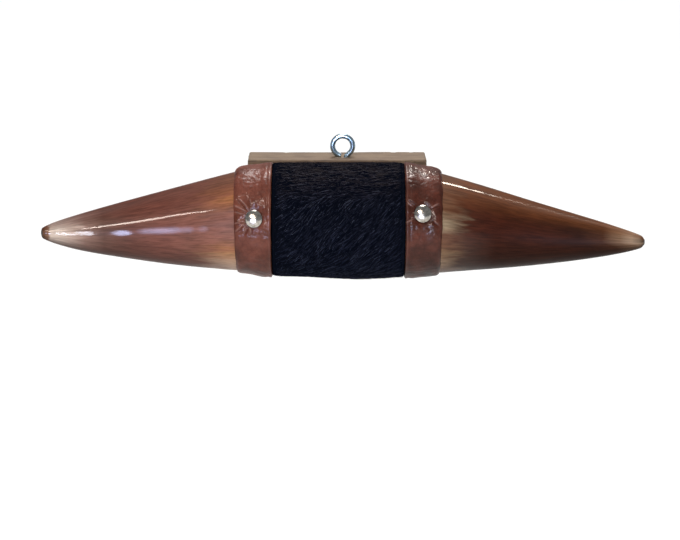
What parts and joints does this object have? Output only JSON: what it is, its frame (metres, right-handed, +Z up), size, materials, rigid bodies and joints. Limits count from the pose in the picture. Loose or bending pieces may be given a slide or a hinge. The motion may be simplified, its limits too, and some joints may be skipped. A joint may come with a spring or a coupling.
{
  "type": "mounted longhorn horns",
  "caption": "Pair of short polished steer horns mounted end to end, with a black hair-on hide wrap, brown leather bands and a wood back block that hangs from a screw eye.",
  "frame": {"origin": "centre of the screw eye's ring, which the mount hangs from", "axes": "+X along the horns to the viewer's right, -Y out from the wall towards the viewer, +Z up"},
  "size_m": [0.5323, 0.144, 0.1182],
  "materials": {
    "left_horn": "polished and lacquered horn, red-brown with a pale tip",
    "right_horn": "polished and lacquered horn, dark brown with a cream base",
    "core_wood": "turned, unfinished",
    "hide": "black hair-on hide",
    "band_leather": "glossy brown leather",
    "nickel": "polished nickel plate",
    "block_wood": "sawn and weathered",
    "zinc": "bright zinc plate",
    "screw_steel": "plain steel"
  },
  "bodies": {
    "root": {"left_horn": "left_horn", "right_horn": "right_horn", "wood_core": "core_wood", "hide_wrap": "hide", "left_band": "band_leather", "right_band": "band_leather", "left_nail": "nickel", "right_nail": "nickel", "back_block": "block_wood", "screw_eye": "zinc", "back_screw_left": "screw_steel", "back_screw_right": "screw_steel"}
  },
  "joints": []
}
